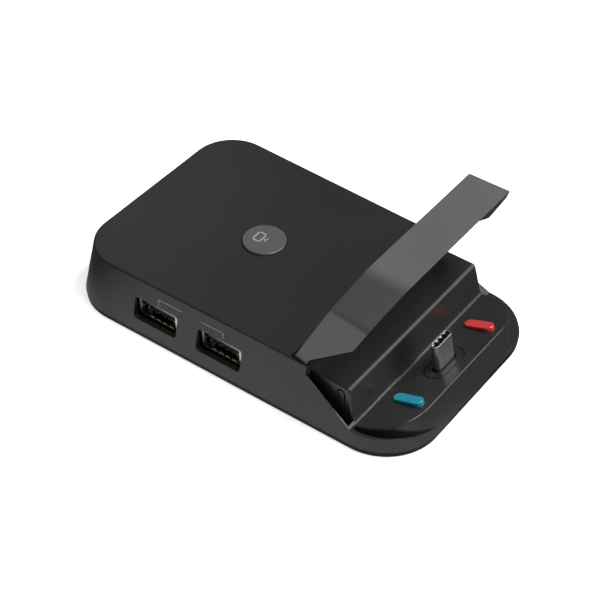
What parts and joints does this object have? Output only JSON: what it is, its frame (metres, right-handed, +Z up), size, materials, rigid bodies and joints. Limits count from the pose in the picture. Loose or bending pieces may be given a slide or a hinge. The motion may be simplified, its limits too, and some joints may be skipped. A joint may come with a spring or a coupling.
{
  "type": "handheld console dock",
  "caption": "Low drafted dock body with a tilted tray, a standing console plug, coloured pads, a round button, side sockets and a folding support bracket.",
  "frame": {"origin": "middle of the base on the table, under the middle of the whole object", "axes": "+Y from the tray end to the back wall, +Z up, +X away from the wall with the data sockets"},
  "size_m": [0.0758, 0.1186, 0.0536],
  "materials": {
    "housing_plastic": "fine satin texture",
    "base_plastic": "matte",
    "bracket_metal": "satin grey coating",
    "button_plastic": "satin",
    "seat_plastic": "matte",
    "inner_plastic": "matte",
    "board": "coated laminate",
    "cable": "flexible film",
    "pad_blue": "soft matte",
    "pad_red": "soft matte",
    "connector_steel": "plated",
    "contact_brass": "plated",
    "fixing_steel": "plain",
    "foot_rubber": "matte"
  },
  "bodies": {
    "dock": {"upper_housing": "housing_plastic", "base_cover": "base_plastic", "mode_key": "inner_plastic", "main_board": "board", "flat_cable": "cable", "pad_left": "pad_blue", "pad_right": "pad_red", "hub_chip": "inner_plastic", "video_chip": "inner_plastic", "power_coil": "inner_plastic", "plug_shell": "connector_steel", "plug_core": "inner_plastic", "plug_seat": "seat_plastic", "plug_board": "board", "hinge_pin_right": "fixing_steel", "hinge_pin_left": "fixing_steel", "video_port_shell": "connector_steel", "video_port_tongue": "inner_plastic", "power_port_shell": "connector_steel", "power_port_tongue": "inner_plastic", "data_port_rear_shell": "connector_steel", "data_port_rear_tongue": "inner_plastic", "data_port_rear_contacts": "contact_brass", "data_port_front_shell": "connector_steel", "data_port_front_tongue": "inner_plastic", "data_port_front_contacts": "contact_brass", "rubber_foot_front_left": "foot_rubber", "base_screw_front_left": "fixing_steel", "rubber_foot_front_right": "foot_rubber", "base_screw_front_right": "fixing_steel", "rubber_foot_back_left": "foot_rubber", "base_screw_back_left": "fixing_steel", "rubber_foot_back_right": "foot_rubber", "base_screw_back_right": "fixing_steel"},
    "bracket": {"support_bracket": "bracket_metal"},
    "button": {"mode_button": "button_plastic"}
  },
  "joints": [
    {"name": "bracket_fold", "type": "hinge", "parent": "dock", "child": "bracket", "pos_m": [0, -0.02305, 0.0172], "axis": [1, 0, 0], "range_deg": [-37, 66]},
    {"name": "button_press", "type": "slide", "parent": "dock", "child": "button", "axis": [0, 0, -1], "range_m": [0, 0.0005], "stiffness_N_per_m": 1500}
  ]
}
